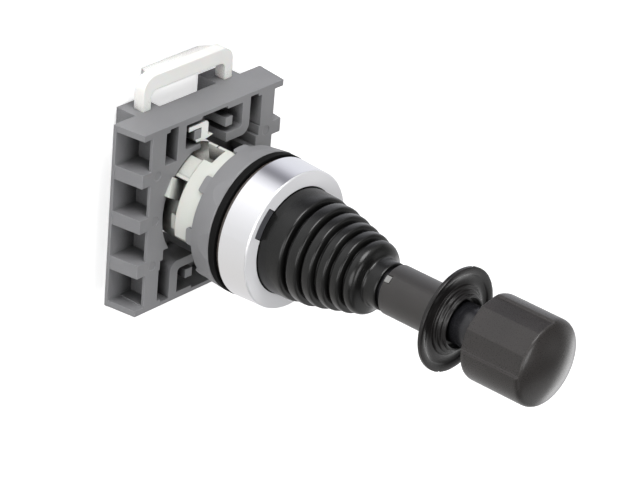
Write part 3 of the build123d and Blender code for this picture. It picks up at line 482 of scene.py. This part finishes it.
seam_ring = (8.8, 18.98)
boot_wall = 0.8
boot_low = [(12.6, 6.9), (12.6, 7.4), (11.1, 7.5), (11.1, 8.2), (11.1, 11.2), (11.0, 11.6),
            (10.98, 13.9), (10.93, 14.7), (10.6, 15.05), (9.6, 15.12), (9.2, 15.3), (9.2, 15.6),
            (9.85, 15.8), (10.37, 16.05), (10.45, 16.65), (10.45, 18.0), (10.37, 18.5), (9.9, 18.7),
            (8.9, 18.78), seam_ring]
boot_high = [seam_ring]
for crest_r, low_z, high_z in ((9.75, 19.1, 21.7), (9.0, 22.15, 24.6), (8.3, 25.0, 27.5)):
    boot_high += [(crest_r - 0.6, low_z + 0.05), (crest_r - 0.08, low_z + 0.3), (crest_r, low_z + 0.9),
                  (crest_r, high_z - 0.7), (crest_r - 0.08, high_z - 0.2), (crest_r - 0.55, high_z),
                  (crest_r - 1.55, high_z + 0.08), (crest_r - 1.65, high_z + 0.28)]
boot_high += [(6.9, 27.9), (7.45, 28.15), (7.6, 28.8), (7.55, 29.5), (7.2, 30.2), (6.6, 30.6),
              (5.8, 30.85), (5.2, 31.05), (5.02, 31.5), (5.0, 32.5), (5.0, 33.9), (4.85, 34.08),
              (4.5, 34.1), (3.45, 34.1)]

rubber = moulded("boot_rubber", (0.005, 0.005, 0.0048), (0.007, 0.007, 0.0067),
                 (0.012, 0.012, 0.0115), 0.20, 0.30, 900.0, 0.03, 0.00005)
rubber.node_tree.nodes["Principled BSDF"].inputs["Specular IOR Level"].default_value = 0.38
for piece_name, rings in (("boot_lower", boot_low), ("boot_upper", boot_high)):
    skin_piece = turned(piece_name, rings, 96)
    outwards(skin_piece)
    thick = skin_piece.modifiers.new("wall", "SOLIDIFY")
    thick.thickness = boot_wall / 1000
    thick.offset = -1.0
    soft = skin_piece.modifiers.new("soft", "SUBSURF")
    soft.levels = soft.render_levels = 1
    apply_all(skin_piece)
    bpy.ops.object.shade_smooth()
    dress(skin_piece, rubber)
    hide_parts("boot")
    if piece_name == "boot_lower":
        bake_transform(skin_piece)
    else:
        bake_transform(skin_piece)


# The joint, the gate and the lever are steel: the ring and the gate are stamped and left as
# rolled, the pins and the lever are ground. The insert in the knob is brass.
def worked_metal(name, colour, smooth, rough, stretch):
    """A bare metal whose grain is stretched along the way it was worked."""
    dull_share = 0.86
    material = bpy.data.materials.new(name)
    material.use_nodes = True
    metal_nodes, metal_links = material.node_tree.nodes, material.node_tree.links
    shader = metal_nodes["Principled BSDF"]
    shader.inputs["Metallic"].default_value = 1.0
    place = metal_nodes.new("ShaderNodeTexCoord")
    mapping = metal_nodes.new("ShaderNodeMapping")
    mapping.inputs["Scale"].default_value = stretch
    grain = metal_nodes.new("ShaderNodeTexNoise")
    grain.inputs["Scale"].default_value = 900.0
    grain.inputs["Detail"].default_value = 4.0
    tone = metal_nodes.new("ShaderNodeMix")
    tone.data_type = "RGBA"
    tone.inputs["A"].default_value = (*colour, 1.0)
    tone.inputs["B"].default_value = (*[dull_share * part for part in colour], 1.0)
    spread = metal_nodes.new("ShaderNodeMapRange")
    spread.inputs["To Min"].default_value = smooth
    spread.inputs["To Max"].default_value = rough
    bump = metal_nodes.new("ShaderNodeBump")
    bump.inputs["Strength"].default_value = 0.08
    bump.inputs["Distance"].default_value = 0.00005
    for source, output, target, socket in (
        (place, "Object", mapping, "Vector"),
        (mapping, "Vector", grain, "Vector"),
        (grain, "Fac", tone, "Factor"),
        (grain, "Fac", spread, "Value"),
        (grain, "Fac", bump, "Height"),
        (tone, "Result", shader, "Base Color"),
        (spread, "Result", shader, "Roughness"),
        (bump, "Normal", shader, "Normal"),
    ):
        metal_links.new(source.outputs[output], target.inputs[socket])
    return material


rolled_steel = worked_metal("rolled_steel", (0.56, 0.56, 0.57), 0.32, 0.48, (1.0, 6.0, 1.0))
ground_steel = worked_metal("ground_steel", (0.66, 0.66, 0.67), 0.14, 0.26, (1.0, 1.0, 9.0))
turned_brass = worked_metal("turned_brass", (0.78, 0.58, 0.28), 0.2, 0.34, (1.0, 1.0, 9.0))
for node_name in ("gate_plate", "gimbal_ring", "actuator_foot", "foot_clip", "cap_ring"):
    dress(nodes[node_name], rolled_steel)
for node_name in ("pivot_pins", "cross_pin", "lever_shaft"):
    dress(nodes[node_name], ground_steel)
dress(nodes["knob_insert"], turned_brass)


# The guide tube is black acetal with a polished skin, pressed on the lever's shaft. The collar
# slides on its upper part.
tube_black = moulded("tube_black", (0.012, 0.012, 0.014), (0.016, 0.016, 0.018), (0.04, 0.04, 0.042),
                     0.10, 0.18, 2500.0, 0.02, 0.0001)
dress(nodes["guide_tube"], tube_black)


# The collar is one moulding in black nylon: a satin sleeve and a dished pull disc, glossy in
# front, whose hub rises in steps. At rest its notch sits over the small grey key on the tube.
def carve(piece, cutter):
    """Take the cutter out of the piece, then smooth the shading over the blunt edges."""
    outwards(cutter)
    outwards(piece)
    cut = piece.modifiers.new("cut", "BOOLEAN")
    cut.operation = "DIFFERENCE"
    cut.solver = "EXACT"
    cut.object = cutter
    apply_all(piece)
    bpy.data.objects.remove(cutter)
    bpy.ops.object.shade_smooth_by_angle(angle=radians(30))


sleeve_rings = [(3.38, 35.15), (4.95, 35.15), (5.1, 35.2), (5.15, 35.35), (5.15, 49.2),
                (5.25, 49.5), (5.5, 49.6)]
disc_rings = [(10.45, 49.6), (10.65, 49.7), (10.7, 49.9), (10.7, 50.35), (10.62, 50.47),
              (10.45, 50.5), (9.4, 50.5), (9.2, 50.43), (8.95, 50.15), (8.7, 50.08)]
hub_rings = [(7.4, 50.05), (7.2, 50.15), (7.1, 50.6), (6.95, 50.75), (6.6, 50.78), (6.45, 50.9),
             (6.35, 51.3), (6.2, 51.42), (5.95, 51.45), (5.8, 51.6), (5.7, 52.05), (5.55, 52.2),
             (5.35, 52.2)]
bore_rings = [(5.2, 52.1), (5.2, 51.0), (4.38, 51.0), (4.38, 38.5), (3.38, 38.5), (3.38, 35.15)]
collar = turned("pull_collar", sleeve_rings + disc_rings + hub_rings + bore_rings, 160)
key_notch = (0.0051, 0.0, 0.0358)
key_azimuth = 132.0
bpy.ops.object.select_all(action="DESELECT")
bpy.ops.mesh.primitive_cube_add(size=1.0, location=key_notch)
cutter = bpy.context.active_object
bpy.ops.object.mode_set(mode="EDIT")
bpy.ops.transform.resize(value=(0.0082, 0.0017, 0.0014), center_override=key_notch)
bpy.ops.transform.rotate(value=radians(-key_azimuth), orient_axis="Z", center_override=(0.0, 0.0, 0.0))
rim_r = 0.0107
for azimuth in (69.0, 249.0):
    bpy.ops.mesh.primitive_cylinder_add(vertices=24, radius=0.00045, depth=0.004, location=(
        rim_r * cos(radians(azimuth)), rim_r * sin(radians(azimuth)), 0.05))
bpy.ops.object.mode_set(mode="OBJECT")
bpy.ops.object.transform_apply(location=True)
carve(collar, cutter)
collar_black = moulded("collar_black", (0.032, 0.029, 0.028), (0.026, 0.024, 0.023),
                       (0.06, 0.055, 0.052), 0.30, 0.44, 3000.0, 0.12, 0.0002)
disc_black = moulded("disc_black", (0.008, 0.007, 0.007), (0.011, 0.010, 0.010), (0.02, 0.018, 0.018),
                     0.16, 0.30, 3000.0, 0.04, 0.00015)
disc_black.node_tree.nodes["Principled BSDF"].inputs["Specular IOR Level"].default_value = 0.38
collar.data.materials.append(collar_black)
collar.data.materials.append(disc_black)
disc_back_z = 0.0496
for face in collar.data.polygons:
    face.material_index = 1 if face.center.z > disc_back_z else 0
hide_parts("collar")
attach(collar, "collar")
key_grey = moulded("key_grey", (0.22, 0.22, 0.215), (0.20, 0.20, 0.195), (0.27, 0.27, 0.265),
                   0.3, 0.4, 3000.0, 0.05, 0.0001)
dress(nodes["collar_key"], key_grey)


# The knob is black phenolic, pressed round its insert: a low dome and two wide grips, each of
# three flats that run out at the open end. The grain sparkles where the light falls on it.
axis_r = 0.0004
knob_r = 8.88
edge_r = 1.77
edge_z = 71.04
dome_r = 15.87
dome_z = 58.85
knob_rings = [(axis_r, 69.5), (3.9, 69.5), (3.9, 59.6), (4.3, 59.6), (4.3, 58.1), (7.9, 58.1),
              (8.35, 58.2), (8.7, 58.5), (8.85, 58.95), (knob_r, 59.4), (knob_r, edge_z)]
knob_rings += [(knob_r - edge_r + edge_r * cos(radians(turn)), edge_z + edge_r * sin(radians(turn)))
               for turn in range(10, 60, 10)]
knob_rings += [(dome_r * cos(radians(turn)), dome_z + dome_r * sin(radians(turn)))
               for turn in (60, 64, 68, 72, 76, 80, 84, 87)]
knob_rings.append((axis_r, dome_z + dome_r))
knob = turned("knob_body", knob_rings, 160)
grip_line = [(7.86, -2.55), (7.86, 2.55), (6.0, 5.7), (5.86, 6.1), (5.98, 6.45), (6.3, 6.75),
             (9.6, 8.3), (9.6, -8.3), (6.3, -6.75), (5.98, -6.45), (5.86, -6.1), (6.0, -5.7),
             (7.86, -2.55)]
grip_azimuth = 131.5
grip_low_z = 0.057
grip_height = 0.0149
bpy.ops.object.select_all(action="DESELECT")
bpy.ops.mesh.primitive_plane_add(size=0.001, location=(0.0, 0.0, 0.0))
cutter = bpy.context.active_object
bpy.ops.object.mode_set(mode="EDIT")
bpy.ops.mesh.select_mode(type="VERT")
bpy.ops.mesh.select_all(action="SELECT")
bpy.ops.mesh.merge(type="CENTER")
bpy.ops.mesh.select_all(action="SELECT")
bpy.ops.transform.translate(value=(grip_line[0][0] / 1000, grip_line[0][1] / 1000, grip_low_z))
for (old_x, old_y), (new_x, new_y) in zip(grip_line, grip_line[1:]):
    bpy.ops.mesh.extrude_vertices_move(TRANSFORM_OT_translate={
        "value": ((new_x - old_x) / 1000, (new_y - old_y) / 1000, 0.0)})
bpy.ops.mesh.select_all(action="SELECT")
bpy.ops.mesh.remove_doubles(threshold=join_distance)
bpy.ops.mesh.edge_face_add()
bpy.ops.mesh.extrude_region_move(TRANSFORM_OT_translate={"value": (0.0, 0.0, grip_height)})
bpy.ops.mesh.select_all(action="SELECT")
bpy.ops.transform.rotate(value=radians(-grip_azimuth), orient_axis="Z", center_override=(0.0, 0.0, 0.0))
bpy.ops.mesh.duplicate()
bpy.ops.transform.rotate(value=radians(180.0), orient_axis="Z", center_override=(0.0, 0.0, 0.0))
bpy.ops.object.mode_set(mode="OBJECT")
carve(knob, cutter)
knob_black = moulded("knob_black", (0.022, 0.019, 0.018), (0.018, 0.016, 0.015), (0.05, 0.045, 0.043),
                     0.20, 0.38, 5200.0, 0.14, 0.0004)
dress(knob, knob_black)
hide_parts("knob")
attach(knob, "lever")


# The plungers are moulded in dark nylon. They slide in the guide plate and the rear cap and
# reach back to the contact blocks.
plunger_dark = moulded("plunger_dark", (0.05, 0.05, 0.052), (0.042, 0.042, 0.044), (0.09, 0.09, 0.092),
                       0.35, 0.5, 3000.0, 0.06, 0.0001)
for side in ("right", "top", "left", "bottom"):
    dress(nodes["plunger_" + side], plunger_dark)


# The springs are wound from round steel wire: one centres the lever, one pushes the collar back
# down and four return the plungers. The centring one stops short of the foot, which leaves the
# foot room to tilt.
def wound(name, coil_r, wire_r, low_z, high_z, turns, centre=(0.0, 0.0)):
    """A coil between two heights; sizes in mm."""
    bpy.ops.object.select_all(action="DESELECT")
    bpy.ops.mesh.primitive_circle_add(vertices=10, radius=wire_r / 1000,
                                      location=(coil_r / 1000, 0.0, (low_z + wire_r) / 1000),
                                      rotation=(pi / 2, 0.0, 0.0))
    coil = bpy.context.active_object
    coil.name = name
    bpy.ops.object.transform_apply(location=True, rotation=True)
    winding = coil.modifiers.new("winding", "SCREW")
    winding.axis = "Z"
    winding.steps = winding.render_steps = 24
    winding.iterations = turns
    winding.screw_offset = (high_z - low_z - 2 * wire_r) / 1000 / turns
    apply_all(coil)
    bpy.ops.object.mode_set(mode="EDIT")
    bpy.ops.mesh.select_mode(type="EDGE")
    bpy.ops.mesh.select_all(action="DESELECT")
    bpy.ops.mesh.select_non_manifold()
    bpy.ops.mesh.edge_face_add()
    bpy.ops.mesh.select_all(action="SELECT")
    bpy.ops.transform.translate(value=(centre[0] / 1000, centre[1] / 1000, 0.0))
    bpy.ops.object.mode_set(mode="OBJECT")
    outwards(coil)
    bpy.ops.object.shade_smooth()
    return coil


spring_steel = worked_metal("spring_steel", (0.62, 0.62, 0.63), 0.22, 0.36, (1.0, 1.0, 1.0))
coil = wound("centring_coil", 4.1, 0.25, -7.0, -4.4, 3)
dress(coil, spring_steel)
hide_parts("centring_spring")
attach(coil, "base")
coil = wound("collar_coil", 3.85, 0.25, 38.5, 49.0, 8)
dress(coil, spring_steel)
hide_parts("collar_spring")
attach(coil, "lever")
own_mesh(coil)
for side, centre in (
    ("right", (6.2, 0.0)),
    ("top", (0.0, 6.2)),
    ("left", (-6.2, 0.0)),
    ("bottom", (0.0, -6.2)),
):
    coil = wound("plunger_coil_" + side, 1.8, 0.18, -17.3, -12.0, 6, centre)
    dress(coil, spring_steel)
    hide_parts("plunger_spring_" + side)
    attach(coil, "base")
    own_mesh(coil)
